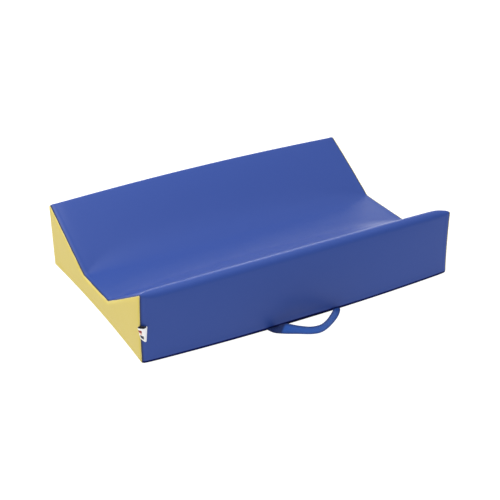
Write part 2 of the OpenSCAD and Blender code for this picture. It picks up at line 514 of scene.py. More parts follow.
baseLow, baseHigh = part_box("cover_base_panel")
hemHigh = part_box("cover_hem_strip")[1]
cover = {
    "halfLength": baseHigh.x,
    "halfWidth": baseHigh.y,
    "endDish": 7.0 * mm,  # at floor level, fading out upwards
    "flare": {  # how far each end's corners stand out: low front, high front, low back, high back
        -1: (7.0 * mm, 1.2 * mm, 3.6 * mm, 4.0 * mm),
        1: (1.4 * mm, 9.5 * mm, 3.0 * mm, 2.5 * mm),
    },
    "cornerLift": {-1: 5.0 * mm, 1: -3.0 * mm},
    "foldShift": {  # how far each end's folds lie inwards and lower: the back one, then the front one
        -1: (20.0 * mm, 6.0 * mm, 11.0 * mm, 2.4 * mm),
        1: (0.0, 0.0, 0.0, 0.0),
    },
    "foldShiftReach": 55.0 * mm,
    "flareClimb": 1.9,
    "cornerTuck": 4.0 * mm,  # how far the front foot's corners are pulled in
    "tuckReach": 8.0 * mm,
    "footOut": 5.5 * mm,  # how far the foot of the front face stands out
    "floorHeight": 73.0 * mm,
    "halfChannel": 95.0 * mm,
    "cornerHeight": 184.5 * mm,
    "frontRise": 14.0 * mm,  # how much the crest stands above its seamed corner
    "frontCrown": 2.0 * mm,
    "backCornerRise": 3.0 * mm,
    "backRise": 6.5 * mm,
    "backCrown": 9.0 * mm,
    "riseLength": 20.0 * mm,
    "frontTopBow": 5.0 * mm,
    "frontBottomBow": -baseLow.y - baseHigh.y,
    "backTopBow": 6.0 * mm,
    "endCrestRadius": 4.0 * mm,
    "crestRadius": 9.5 * mm,
    "frontCrestExtra": 8.5 * mm,
    "endFoldRadius": 10.0 * mm,
    "foldRadius": 285.0 * mm,
    "foldLength": 90.0 * mm,
    "edgeRadius": 4.0 * mm,
    "footRadius": 1.6 * mm,
    "underside": 0.5 * mm,
    "turnUnder": 30.0 * mm,
    "hemTop": hemHigh.z,
    "zipTop": hemHigh.z + 12.0 * mm,
    "thickness": 1.0 * mm,
}
seamLook = {
    "grooveDepth": 1.3 * mm,
    "grooveWidth": 1.7 * mm,
    "ridgeHeight": 0.75 * mm,
    "ridgePlace": 9.0 * mm,
    "ridgeWidth": 4.0 * mm,
    # painted shade: how far the darkening beside each seam reaches
    "shadeReach": 3.6 * mm,
    "footPaintedShade": 0.9,  # painted shade where the mat meets the floor
    "footReach": 4.5 * mm,
    "puckerHeight": 0.35 * mm,
    "puckerReach": 11.0 * mm,
    "puckerWaves": (14, 19, 27, 41),  # in millimetres
    "seeds": {"sides": 4, "foot": 9, -1: 19, 1: 21},
}
counts = {"curl": 4, "hem": 5, "face": 16, "crest": 12, "slope": 18, "fold": 12, "floor": 12}
faceCount = counts["hem"] + 1 + counts["face"]
crestBack = counts["curl"] + faceCount + counts["crest"] // 2


def bow(distance):  # 0 at the ends and 1 at mid length
    share = 1 - distance / cover["halfLength"]
    return 1 - share * share


def nearEnd(distance, reach):  # 1 at the seam, dying out inside
    return math.exp(-((distance / reach) ** 1.5))


def sectionCorners(distance, side=1):
    middle = bow(distance)
    near = nearEnd(distance, cover["foldShiftReach"])
    backIn, backDown, frontIn, frontDown = [near * amount for amount in cover["foldShift"][side]]
    rise = 1 - nearEnd(distance, cover["riseLength"])
    tuck = cover["footOut"] - cover["cornerTuck"] * math.exp(-distance / cover["tuckReach"])
    frontFoot = -(cover["halfWidth"] + cover["frontBottomBow"] * middle + tuck)
    frontTop = -(cover["halfWidth"] + cover["frontTopBow"] * middle)
    backTop = cover["halfWidth"] + cover["backTopBow"] * middle
    frontHeight = cover["cornerHeight"] + cover["frontRise"] * rise + cover["frontCrown"] * middle
    backHeight = cover["cornerHeight"] + cover["backCornerRise"] + cover["backRise"] * rise
    backHeight += cover["backCrown"] * middle
    low = cover["underside"]
    corners = [
        (cover["halfWidth"] - cover["turnUnder"], low),
        (cover["halfWidth"], low),
        (cover["halfWidth"], cover["hemTop"]),
        (cover["halfWidth"], cover["zipTop"]),
        (backTop, backHeight),
        (cover["halfChannel"] - backIn, cover["floorHeight"] - backDown),
        (frontIn - cover["halfChannel"], cover["floorHeight"] - frontDown),
        (frontTop, frontHeight),
        (frontFoot, low),
        (frontFoot + cover["turnUnder"], low),
    ]
    crest = cover["endCrestRadius"] + (cover["crestRadius"] - cover["endCrestRadius"]) * rise
    opening = (1 - math.exp(-distance / cover["foldLength"])) ** 1.3
    fold = cover["endFoldRadius"] + cover["foldRadius"] * opening
    foot = cover["footRadius"]
    radii = [0, foot, 0, 0, crest, fold, fold, crest + cover["frontCrestExtra"] * rise, foot, 0]
    return np.array(corners), radii


def liftedRing(distance, side):  # a section with its front crest raised or lowered towards the seam
    ring, out = sectionRing(distance, side)
    share = (-ring[:, 0] - cover["halfChannel"]) / (cover["halfWidth"] - cover["halfChannel"])
    share = np.clip(share, 0, 1) * np.clip(ring[:, 1] / cover["cornerHeight"], 0, 1)
    ring[:, 1] += cover["cornerLift"][side] * share * nearEnd(distance, cover["riseLength"])
    return ring, out


def evenly(count):
    return np.linspace(0, 1, count + 1)[1:-1]


def denseEnd(count):  # steps that shrink towards the far end
    return 1 - (1 - evenly(count)) ** 1.7


def sectionRing(distance, side):
    corners, radii = sectionCorners(distance, side)
    ways = np.diff(corners, axis=0)
    ways /= np.linalg.norm(ways, axis=1)[:, None]
    curl, crest, fold = counts["curl"] * 2, counts["crest"], counts["fold"]
    arcs = {1: curl, 4: crest, 5: fold, 6: fold, 7: crest, 8: curl}
    slope = evenly(counts["slope"])
    spans = {1: evenly(counts["hem"]), 3: evenly(counts["face"]), 4: slope,
             5: evenly(counts["floor"]), 6: slope, 7: denseEnd(faceCount)}
    points = []
    normals = []
    leaving = corners[0]
    for index in range(1, len(corners) - 1):
        before = ways[index - 1]
        after = ways[index]
        outBefore = np.array([before[1], -before[0]])
        outAfter = np.array([after[1], -after[0]])
        turn = math.atan2(before[0] * after[1] - before[1] * after[0], before @ after)
        reach = radii[index] * abs(math.tan(turn / 2))
        entry = corners[index] - before * reach
        for share in spans.get(index - 1, ()):
            points.append(leaving + (entry - leaving) * share)
            normals.append(outBefore)
        if index in arcs:
            bend = 1 if turn > 0 else -1
            centre = entry - outBefore * radii[index] * bend
            first = math.atan2(outBefore[1], outBefore[0])
            for step in range(arcs[index] + 1):
                angle = first + turn * step / arcs[index]
                out = np.array([math.cos(angle), math.sin(angle)])
                points.append(centre + out * radii[index] * bend)
                normals.append(out)
            leaving = corners[index] + after * reach
        else:
            points.append(corners[index])
            normals.append(outAfter)
            leaving = corners[index]
    half = counts["curl"]
    return np.array(points)[half:-half], np.array(normals)[half:-half]


def endFace(points, side):  # how far an end's surface stands in, over a section's points
    across = np.clip(points[:, 0] / cover["halfWidth"], -1, 1)
    upward = np.clip(points[:, 1] / cover["cornerHeight"], 0, 1)
    dish = cover["endDish"] * (1 - across * across) * (1 - upward) ** 2
    frontLow, frontHigh, backLow, backHigh = cover["flare"][side]
    climb = upward ** cover["flareClimb"]
    front = frontLow + (frontHigh - frontLow) * climb
    back = backLow + (backHigh - backLow) * climb
    return dish - front - (back - front) * (across + 1) / 2


def seamRelief(away):  # groove at the seam and the soft ridge of its turned allowance
    ridge = seamLook["ridgeHeight"] * bell(away, seamLook["ridgeWidth"], seamLook["ridgePlace"])
    return ridge - seamLook["grooveDepth"] * bell(away, seamLook["grooveWidth"])


# where the sections stand: round the edge of the end, then inwards with growing steps
stations = [(cover["edgeRadius"], math.radians(angle)) for angle in (45, 30, 15)]
inner = [0, 1.5, 3, 4.5, 6, 8, 10, 12.5, 15.5, 19, 23, 28, 34, 42, 52, 64, 78, 94, 112, 132, 154, 178, 204,
         232, 262, 294, 328, 364, 402]
stations += [(cover["edgeRadius"] + value * mm, 0.0) for value in inner]


def stationRing(distance, angle, side):
    radius = cover["edgeRadius"]
    ring, out = liftedRing(0 if angle > 0 else distance, side)
    inset = radius * (1 - math.cos(angle))
    ahead = distance - radius * math.sin(angle)
    arc = radius * (math.pi / 4 - angle) + distance - radius
    share = 1 - ahead / cover["halfLength"]
    across = cover["halfLength"] - ahead - endFace(ring, side) * share
    points = np.column_stack([side * across, ring - out * inset])
    normals = np.column_stack([np.full(len(ring), side * math.sin(angle)), out * math.cos(angle)])
    return points, normals, np.full(len(ring), arc)


def buildWrap():
    rows = [stationRing(distance, angle, -1) for distance, angle in stations]
    rows += [stationRing(distance, angle, 1) for distance, angle in reversed(stations)]
    return [np.array(values) for values in zip(*rows)]


wrapPoints, wrapNormals, wrapAway = buildWrap()
rowCount, ringCount = wrapAway.shape
crestFront = ringCount - 1 - crestBack
print("wrap grid", rowCount, ringCount)


def buildEnd(side):
    ring = wrapPoints[0 if side < 0 else -1][:, 1:]
    top = ring[crestBack:crestFront + 1]
    left = ring[:crestBack + 1]
    right = ring[crestFront:][::-1]
    share = (top[:, 0] - top[0, 0]) / (top[-1, 0] - top[0, 0])
    height = (left[:, 1] - left[0, 1]) / (left[-1, 1] - left[0, 1])
    s, t = share[None, :, None], height[:, None, None]
    foot = left[0] + (right[0] - left[0]) * share[:, None]
    flat = (1 - t) * foot[None] + t * top[None] + (1 - s) * left[:, None] + s * right[:, None]
    flat -= (1 - s) * (1 - t) * left[0] + s * (1 - t) * right[0] + (1 - s) * t * left[-1] + s * t * right[-1]
    radius = cover["edgeRadius"]
    outline = liftedRing(0, side)[0]
    closed = np.vstack([outline, outline[:1]])
    spots = flat.reshape(-1, 2)
    starts, ends = closed[:-1], closed[1:]
    run = ends - starts
    rate = ((spots[:, None] - starts[None]) * run[None]).sum(2) / (run * run).sum(1)[None]
    rate = np.clip(rate, 0, 1)
    gap = spots[:, None] - starts[None] - rate[..., None] * run[None]
    inside = np.sqrt((gap * gap).sum(2)).min(1)
    under = np.clip(radius - inside, 0, radius)
    inset = radius - np.sqrt(np.clip(radius * radius - under * under, 0, None))
    angle = np.arcsin(np.clip(under / radius, 0, 1))
    arc = np.where(angle > 0, radius * (math.pi / 4 - angle), radius * math.pi / 4 + inside - radius)
    across = cover["halfLength"] - inset - endFace(spots, side)
    points = np.column_stack([side * across, spots])
    return points.reshape(*flat.shape[:2], 3), np.clip(arc, 0, None).reshape(flat.shape[:2])


def gridNormals(points):
    along = np.gradient(points, axis=0)
    across = np.gradient(points, axis=1)
    out = np.cross(across, along)
    return out / np.maximum(np.linalg.norm(out, axis=2, keepdims=True), 1e-12)


def buildBase():  # the underside, from the two ends' lower edges
    left = endGrids[-1][0][0]
    right = endGrids[1][0][0]
    back = wrapPoints[:, 0]
    front = wrapPoints[:, -1]
    share = ((back[:, 0] - back[0, 0]) / (back[-1, 0] - back[0, 0]))[:, None, None]
    side = ((left[:, 1] - left[0, 1]) / (left[-1, 1] - left[0, 1]))[None, :, None]
    grid = (1 - share) * left[None] + share * right[None]
    grid += (1 - side) * back[:, None] + side * front[:, None]
    grid -= (1 - share) * (1 - side) * back[0] + share * (1 - side) * back[-1]
    grid -= (1 - share) * side * front[0] + share * side * front[-1]
    return grid


endGrids = {side: buildEnd(side) for side in (-1, 1)}
basePoints = buildBase()
print("ends and base built")


swell = {  # the cover is blown up as cloth over its padding
    "voxel": 11.0 * mm,
    "pressure": 4.0,
    "frames": 20,
    "quality": 5,
    "mass": 0.4,
    "stretch": 25,
    "bending": 2.0,
    "most": 3.2 * mm,  # how far the fullest point may stand out
    "pinReach": 12.0 * mm,
    "pinHeight": 4.0 * mm,
    "fadeReach": 30.0 * mm,
    "neighbours": 10,  # how many coarse points each fine point follows
    "softening": 7.7 * mm,
}


def closedShell():
    shell = bmesh.new()

    def addGrid(grid, flip):
        rows, columns = grid.shape[:2]
        corners = [shell.verts.new(point) for point in grid.reshape(-1, 3)]
        for face in gridFaces(rows, columns, flip):
            shell.faces.new([corners[index] for index in face])

    addGrid(wrapPoints, False)
    addGrid(endGrids[-1][0], True)
    addGrid(endGrids[1][0], False)
    addGrid(basePoints, True)
    bmesh.ops.remove_doubles(shell, verts=shell.verts, dist=0.0001)
    bmesh.ops.recalc_face_normals(shell, faces=shell.faces)
    mesh = bpy.data.meshes.new("shell")
    shell.to_mesh(mesh)
    shell.free()
    piece = bpy.data.objects.new("shell", mesh)
    bpy.context.scene.collection.objects.link(piece)
    return piece


def seamTree():
    feet = [endGrids[side][0][0] for side in (-1, 1)]
    return makeTree(np.vstack([wrapPoints[0], wrapPoints[-1], wrapPoints[:, 0], wrapPoints[:, -1], *feet]))


def inflate():  # returns where the coarse points rest and how far the pressure carried them
    shell = closedShell()
    remesh = shell.modifiers.new("remesh", "REMESH")
    remesh.mode = "VOXEL"
    remesh.voxel_size = swell["voxel"]
    applyModifiers(shell)
    rest = np.array([vertex.co for vertex in shell.data.vertices])
    tree = seamTree()
    pins = shell.vertex_groups.new(name="pins")
    for index, point in enumerate(rest):
        near = tree.find(point)[2]
        if near < swell["pinReach"] or point[2] < swell["pinHeight"]:
            pins.add([index], 1.0, "REPLACE")
    cloth = shell.modifiers.new("cloth", "CLOTH")
    cloth.settings.quality = swell["quality"]
    cloth.settings.mass = swell["mass"]
    cloth.settings.tension_stiffness = swell["stretch"]
    cloth.settings.compression_stiffness = swell["stretch"]
    cloth.settings.bending_stiffness = swell["bending"]
    cloth.settings.vertex_group_mass = "pins"
    cloth.settings.use_pressure = True
    cloth.settings.uniform_pressure_force = swell["pressure"]
    cloth.settings.effector_weights.gravity = 0
    cloth.point_cache.frame_start = 1
    cloth.point_cache.frame_end = swell["frames"]
    for step in range(1, swell["frames"] + 1):
        bpy.context.scene.frame_set(step)
    held = bpy.context.evaluated_depsgraph_get()
    moved = shell.evaluated_get(held).to_mesh()
    after = np.array([vertex.co for vertex in moved.vertices])
    bpy.context.scene.frame_set(1)
    bpy.data.objects.remove(shell)
    carried = after - rest
    fullest = np.percentile(np.linalg.norm(carried, axis=1), 98)
    print("cloth points", len(rest), "fullest mm", round(fullest * 1000, 2))
    return rest, carried * min(1.0, swell["most"] / max(fullest, 1e-9))


def spreadSwell(rest, carried, points):  # the coarse movement, eased onto finer points
    tree = makeTree(rest)
    result = np.zeros_like(points)
    for index, point in enumerate(points):
        found = tree.find_n(point, swell["neighbours"])
        weights = np.array([1 / (near[2] + swell["softening"]) ** 2 for near in found])
        moves = np.array([carried[near[1]] for near in found])
        result[index] = (moves * weights[:, None]).sum(0) / weights.sum()
    return result


coverShift = {}
restPoints, carriedPoints = inflate()
for key, grid in (("wrap", wrapPoints), (-1, endGrids[-1][0]), (1, endGrids[1][0])):
    flat = spreadSwell(restPoints, carriedPoints, grid.reshape(-1, 3))
    coverShift[key] = flat.reshape(grid.shape)
print("cloth applied")


def puckers(along, away, seed):  # small gathers that die out away from a seam
    chance = np.random.default_rng(seed)
    height = np.zeros_like(along)
    for wavelength in seamLook["puckerWaves"]:
        phase = chance.uniform(0, 2 * math.pi)
        height += np.sin(along * 2 * math.pi / (wavelength * mm) + phase)
    height *= seamLook["puckerHeight"] / len(seamLook["puckerWaves"])
    return height * np.exp(-away / seamLook["puckerReach"])


handleLow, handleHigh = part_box("handle_strap")
handlePull = {
    "middle": (handleLow.x + handleHigh.x) / 2 - 10 * mm,
    "reach": 120.0 * mm,
    "foot": 3.5 * mm,  # how far the handle draws the foot of the front face in
    "footReach": 45.0 * mm,
    "bulge": 1.6 * mm,
    "bulgeHeight": 85.0 * mm,
    "bulgeReach": 40.0 * mm,
    "faceDepth": 12.0 * mm,
    "handleShade": 0.13,  # painted shade: how much darker the face above the handle is painted
    "handleShadeHeight": 130.0 * mm,
    "handleShadeReach": 204.0 * mm,
}
wearLook = {  # scuffs: along the crests in grid steps, beside the wrap's seams, and on the ends, where the band beside the seam is also a painted highlight
    "crestSteps": 4.0,
    "seam": 0.6,
    "seamPlace": 8.0 * mm,
    "seamWidth": 3.0 * mm,
    "end": 0.9,
    "endPlace": 5.0 * mm,
    "endWidth": 3.5 * mm,
    # painted highlight: width of the light rim along the seams of the yellow ends
    "endShade": 1.3 * mm,
}


def onFront(points):
    return points[..., 1] < -cover["halfWidth"] + handlePull["faceDepth"]


def handleDraw(points):  # a shallow hollow above the handle
    near = bell(points[..., 0], handlePull["reach"], handlePull["middle"])
    foot = handlePull["foot"] * bell(points[..., 2], handlePull["footReach"])
    bulge = handlePull["bulge"] * bell(points[..., 2], handlePull["bulgeReach"], handlePull["bulgeHeight"])
    return near * (foot - bulge) * onFront(points)


def eased(away):  # 0 at a seam and 1 a little way inside
    fade = np.clip(away / swell["fadeReach"], 0, 1)
    return (fade * fade * (3 - 2 * fade))[..., None]


def everyRow(values):
    return np.tile(values, (rowCount, 1))


def finishWrap():
    points = wrapPoints.copy()
    ringRun = runAlong(points[rowCount // 2])
    footAway = everyRow(ringRun[-1] - ringRun)
    zipAway = everyRow(np.clip(ringRun - ringRun[hemRow + 1], 0, None))
    seamAway = np.minimum(wrapAway, footAway)
    if coverShift:
        points += coverShift["wrap"] * eased(np.minimum(seamAway, zipAway))
    relief = seamRelief(wrapAway) + seamRelief(footAway)
    relief += puckers(everyRow(ringRun), wrapAway, seamLook["seeds"]["sides"])
    relief += puckers(points[..., 0], footAway, seamLook["seeds"]["foot"])
    points += wrapNormals * relief[..., None]
    points[..., 1] += handleDraw(points)
    steps = np.arange(ringCount)
    crest = np.minimum(abs(steps - crestBack), abs(steps - crestFront))
    scuffed = wearLook["seam"] * bell(seamAway, wearLook["seamWidth"], wearLook["seamPlace"])
    wearAndHighlight = np.maximum(everyRow(bell(crest, wearLook["crestSteps"])), scuffed)
    # painted shade along the foot, where the face meets the floor
    foot = seamLook["footPaintedShade"] * np.exp(-(footAway / seamLook["footReach"]) ** 4)
    # painted shade on the front face above the handle
    handleShade = handlePull["handleShade"] * onFront(points)
    handleShade = handleShade * bell(points[..., 0], handlePull["handleShadeReach"], handlePull["middle"])
    handleShade = handleShade * bell(points[..., 2], handlePull["handleShadeHeight"])
    # painted shade: darker in the seam grooves and at the foot
    dark = np.maximum(bell(seamAway, seamLook["shadeReach"]), foot)
    return points, wearAndHighlight, np.maximum(dark, handleShade)


def makeWrapPiece(name, node, first, last):  # one part of the wrap, between two rows of its section
    part = wrapFinal[:, first:last + 1]
    numbers = {"wearAndHighlight": wrapWear[:, first:last + 1].ravel(), "paintedShading": wrapShading[:, first:last + 1].ravel()}
    panel = makePiece(name, part.reshape(-1, 3), gridFaces(*part.shape[:2]), blueVinyl, numbers)
    thicken(panel, cover["thickness"])
    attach(panel, "mat")
    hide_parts(node)
    return panel


hemRow = counts["curl"] + counts["hem"]
wrapFinal, wrapWear, wrapShading = finishWrap()
coverWrap = makeWrapPiece("coverWrap", "cover_wrap_panel", hemRow + 1, ringCount - 1)
makeWrapPiece("coverHem", "cover_hem_strip", 0, hemRow)
zipEndReach = 32.5 * mm


def makeZipEnds(reach):  # closes the cover between the ends of the zip tape and the seams
    count = sum(1 for distance, angle in stations if distance <= reach)
    points, faces, wearAndHighlight, paintedShading = [], [], [], []
    for flip in (False, True):
        rows = slice(None, None, -1 if flip else 1)
        strip = wrapFinal[rows][:count, hemRow:hemRow + 2].copy()
        strip[-1] = (strip[-1] + strip[-2]) / 2
        faces += [tuple(corner + len(points) for corner in face) for face in gridFaces(count, 2, flip)]
        points.extend(strip.reshape(-1, 3))
        wearAndHighlight.extend(wrapWear[rows][:count, hemRow:hemRow + 2].ravel())
        paintedShading.extend(wrapShading[rows][:count, hemRow:hemRow + 2].ravel())
    patches = makePiece("zipEndPatches", points, faces, blueVinyl, {"wearAndHighlight": wearAndHighlight, "paintedShading": paintedShading})
    thicken(patches, cover["thickness"])
    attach(patches, "mat")
    return patches


makeZipEnds(zipEndReach)
footShadeLook = {
    "height": 5.6 * mm,
    "rows": 5,
    "lift": 0.3 * mm,
    "wall": 0.3 * mm,
}


def makeFootShadeStrip(look):  # painted shade: a dark navy strip along the foot of the front face, standing in for the shade where the face turns under to the floor
    heights = np.linspace(0, look["height"], look["rows"])
    points = []
    for row in wrapFinal:
        ring = row[::-1]
        run = runAlong(ring)
        points.append(np.column_stack([np.interp(heights, run, ring[:, axis]) for axis in range(3)]))
    points = np.array(points)
    out = gridNormals(points)
    points += out * (-np.sign(out[..., 1:2])) * look["lift"]
    faces = gridFaces(rowCount, look["rows"], True)
    shadeStrip = makePiece("footShadeStrip", points.reshape(-1, 3), faces, footShadeTape)
    thicken(shadeStrip, look["wall"])
    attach(shadeStrip, "mat")
    return shadeStrip


makeFootShadeStrip(footShadeLook)


def finishEnd(side, name, node):
    points, away = endGrids[side]
    points = points.copy()
    if coverShift:
        points += coverShift[side] * eased(away)
    out = gridNormals(points) * (1 if side < 0 else -1)
    out *= np.sign(out[..., :1] * side + 1e-9)
    relief = seamRelief(away) + puckers(points[..., 1] + points[..., 2], away, seamLook["seeds"][side])
    border = away < 0.05 * mm
    points += out * (relief * ~border)[..., None]
    edge = wrapFinal[0 if side < 0 else -1]
    points[-1] = edge[crestBack:crestFront + 1]
    points[:, 0] = edge[:crestBack + 1]
    points[:, -1] = edge[crestFront:][::-1]
    # scuffs beside the seam, lighter also as a painted highlight
    wearAndHighlight = wearLook["end"] * bell(away, wearLook["endWidth"], wearLook["endPlace"])
    # painted highlight: a light rim along the seam of each end
    dark = bell(away, wearLook["endShade"])
    numbers = {"wearAndHighlight": wearAndHighlight.ravel(), "paintedShading": dark.ravel()}
    faces = gridFaces(*points.shape[:2], flip=side < 0)
    panel = makePiece(name, points.reshape(-1, 3), faces, yellowVinyl, numbers)
    thicken(panel, cover["thickness"])
    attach(panel, "mat")
    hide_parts(node)
    return panel


finishEnd(-1, "coverEndLeft", "cover_end_panel_left")
finishEnd(1, "coverEndRight", "cover_end_panel_right")
print("cover panels made")

undersideLook = {
    "clothHeight": 0.7 * mm,
    "clothThickness": 0.9 * mm,
    "edgeReach": 4.0 * mm,
    "dotPitch": 19.0 * mm,
    "dotRadius": 3.0 * mm,
    "dotMargin": 20.0 * mm,
    "dotSides": 7,
    "dotRings": ((0.8 * mm, 1.0), (0.2 * mm, 0.72)),  # height above the ground and share of the radius
    "dotTip": 0.02 * mm,
}


def makeUnderside(look):
    grid = basePoints.copy()
    rows, columns = grid.shape[:2]
    border = np.minimum(
        np.minimum(grid[:, :, 0] - grid[:1, :, 0], grid[-1:, :, 0] - grid[:, :, 0]),
        np.minimum(grid[:, :1, 1] - grid[:, :, 1], grid[:, :, 1] - grid[:, -1:, 1]),
    )
    keep = bell(border, look["edgeReach"])
    grid[..., 2] = look["clothHeight"] + (grid[..., 2] - look["clothHeight"]) * keep
    cloth = makePiece("coverBase", grid.reshape(-1, 3), gridFaces(rows, columns, True), nonslipCloth)
    thicken(cloth, look["clothThickness"])
    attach(cloth, "mat")
    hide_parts("cover_base_panel")
    return cloth


def makeDots(look):  # raised grip dots in staggered rows
    points, faces = [], []
    sides = look["dotSides"]
    pitch = look["dotPitch"]
    rowPitch = pitch * math.sin(math.pi / 3)
    rows = int(2 * cover["halfWidth"] / rowPitch)
    columns = int(2 * cover["halfLength"] / pitch)
    radius = look["dotRadius"]
    for row in range(-rows // 2 - 1, rows // 2 + 2):
        y = row * rowPitch
        for column in range(-columns // 2 - 1, columns // 2 + 2):
            x = (column + 0.5 * (row % 2)) * pitch
            share = x / cover["halfLength"]
            front = -cover["halfWidth"] - cover["frontBottomBow"] * (1 - share * share)
            dish = cover["endDish"] * (1 - (y / cover["halfWidth"]) ** 2)
            clearX = cover["halfLength"] - dish - abs(x)
            clearY = min(y - front, cover["halfWidth"] - y)
            if min(clearX, clearY) < look["dotMargin"]:
                continue
            first = len(points)
            for level, width in look["dotRings"]:
                for side in range(sides):
                    angle = 2 * math.pi * side / sides
                    out = radius * width
                    points.append((x + out * math.cos(angle), y + out * math.sin(angle), level))
            points.append((x, y, look["dotTip"]))
            faces += tubeFaces(first, 2, sides, True)
            rim = first + sides
            faces += [(rim + (side + 1) % sides, rim + side, rim + sides) for side in range(sides)]
    dots = makePiece("coverBaseDots", points, faces, gripRubber)
    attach(dots, "mat")
    return dots


makeUnderside(undersideLook)
makeDots(undersideLook)
print("underside made")

core = {
    "gap": 7.0 * mm,  # between the foam's square-cut faces and the cover's surface
    "slabTop": 65.5 * mm,
    "slabFoot": 2.4 * mm,
    "glueLine": 1.0 * mm,
    "peakDrop": 10.0 * mm,  # the wedges' sharp edges are trimmed under the round crests
    "rounding": 4.0 * mm,
    "channelGap": 2.0 * mm,
    "stations": (12, 30, 60, 110, 180, 270, 360),  # millimetres in from each end
}


def coreSection(kind, distance):
    corners = sectionCorners(distance)[0]
    (backTop, backHeight), (frontTop, frontHeight), (frontFoot, low) = corners[4], corners[7], corners[8]
    gap = core["gap"]
    lean = (frontTop - frontFoot) / (frontHeight - low)
    base = core["slabTop"] + core["glueLine"]
    inner = cover["halfChannel"] + core["channelGap"]
    if kind == "slab":
        return [
            (cover["halfWidth"] - gap, core["slabFoot"]), (cover["halfWidth"] - gap, core["slabTop"]),
            (frontFoot + lean * core["slabTop"] + gap, core["slabTop"]), (frontFoot + gap, core["slabFoot"]),
        ]
    side = 1 if kind == "back" else -1
    height = backHeight if side > 0 else frontHeight
    top = backTop if side > 0 else frontTop
    foot = cover["halfWidth"] if side > 0 else frontFoot + lean * base
    slope = (height - cover["floorHeight"]) / (abs(top) - cover["halfChannel"])
    peak = height - slope * gap - gap - core["peakDrop"]
    return [(side * (abs(foot) - gap), base), (side * (abs(top) - gap), peak), (side * inner, base)][::side]


def makeFoam(kind, name, node):
    rows = [(value * mm, -1) for value in core["stations"]]
    rows += [(value * mm, 1) for value in core["stations"][::-1]]
    points = []
    for distance, side in rows:
        section = np.array(coreSection(kind, distance))
        share = 1 - distance / cover["halfLength"]
        across = cover["halfLength"] - distance - endFace(section, side) * share
        points += [(side * x, y, z) for x, (y, z) in zip(across, section)]
    size = len(section)
    faces = [tuple(range(size))[::-1], tuple(range(len(points) - size, len(points)))]
    faces += tubeFaces(0, len(rows), size)
    foam = makePiece(name, points, faces, cutFoam)
    shell = bmesh.new()
    shell.from_mesh(foam.data)
    bmesh.ops.recalc_face_normals(shell, faces=shell.faces)
    shell.to_mesh(foam.data)
    shell.free()
    bevel = foam.modifiers.new("rounding", "BEVEL")
    bevel.width = core["rounding"]
    bevel.segments = 3
    bevel.limit_method = "ANGLE"
    bevel.angle_limit = math.radians(20)
    applyModifiers(foam)
    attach(foam, "mat")
    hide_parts(node)
    return foam


makeFoam("slab", "foamSlab", "foam_base_slab")
makeFoam("front", "foamFrontWedge", "foam_front_wedge")
makeFoam("back", "foamBackWedge", "foam_back_wedge")
print("foam made")

zipper = {
    "middle": (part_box("zip_teeth_upper")[0].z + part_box("zip_teeth_lower")[1].z) / 2,
    "pitch": 2.6 * mm,
    "overlap": 0.95 * mm,  # how far each head reaches past the middle of the chain
    "toothLength": 1.1 * mm,
    "toothFullness": 1.05,
    "toothSides": 8,
    "tooth": [  # from root to tip: the share of the way, half length and half depth
        (0.0, 0.50, 0.92), (0.45, 0.46, 0.88), (0.62, 0.36, 0.70), (0.80, 0.66, 0.86), (0.94, 0.62, 0.80),
        (1.0, 0.34, 0.50),
    ],
    "stitchPitch": 4.2 * mm,
    "stitchLength": 3.0 * mm,
    "stitchRadius": 0.33 * mm,
    "stitchSides": 6,
    "stitch": [(-1.0, 0.25), (-0.75, 0.9), (0.0, 1.0), (0.75, 0.9), (1.0, 0.25)],  # place and fullness
    "stitchMargin": 14.0 * mm,
    "stitchOut": 0.2 * mm,
    "stitchEdge": 3.2 * mm,  # between a folded edge and its row of stitches
}


def makeTeeth(name, node, direction, shift):
    low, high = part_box(node)
    root = high.z if direction < 0 else low.z
    tip = zipper["middle"] + direction * zipper["overlap"]
    middle = (low.y + high.y) / 2
    depth = (high.y - low.y) / 2 * zipper["toothFullness"]
    sides = zipper["toothSides"]
    count = len(zipper["tooth"])
    points, faces = [], []
    for tooth in range(int((high.x - low.x) / zipper["pitch"]) - 1):
        x = low.x + zipper["pitch"] * (tooth + 0.75 + shift)
        first = len(points)
        for share, wide, deep in zipper["tooth"]:
            z = root + (tip - root) * share
            for side in range(sides):
                angle = 2 * math.pi * (side + 0.5) / sides
                reach = zipper["toothLength"] * wide * math.cos(angle)
                points.append((x + reach, middle + depth * deep * math.sin(angle), z))
        faces += tubeFaces(first, count, sides, direction < 0)
        cap = tuple(first + (count - 1) * sides + side for side in range(sides))
        faces.append(cap if direction > 0 else cap[::-1])
    teeth = makePiece(name, points, faces, zipCoil)
    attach(teeth, "mat")
    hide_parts(node)
    return teeth


def makeStitches(name, rows):  # short threads lying in rows along X
    points, faces = [], []
    sides = zipper["stitchSides"]
    radius = zipper["stitchRadius"]
    for y, z, reach in rows:
        for stitch in range(int(2 * reach / zipper["stitchPitch"])):
            x = -reach + zipper["stitchPitch"] * (stitch + 0.5)
            first = len(points)
            for share, width in zipper["stitch"]:
                dip = radius * 0.9 * share * share
                ahead = x + zipper["stitchLength"] / 2 * share
                for side in range(sides):
                    angle = 2 * math.pi * side / sides
                    out = radius * width
                    points.append((ahead, y - dip + out * math.sin(angle), z + out * math.cos(angle)))
            faces += tubeFaces(first, len(zipper["stitch"]), sides)
    threads = makePiece(name, points, faces, navyThread)
    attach(threads, "mat")
    return threads


def refineNode(node, material, width):  # gives a CAD part its finish and softens its edges
    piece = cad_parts[node]
    piece.data.materials.clear()
    piece.data.materials.append(material)
    weld = piece.modifiers.new("weld", "WELD")
    weld.merge_threshold = 0.00001
    bevel = piece.modifiers.new("bevel", "BEVEL")
    bevel.width = width
    bevel.segments = 2
    bevel.limit_method = "ANGLE"
    bevel.angle_limit = math.radians(40)


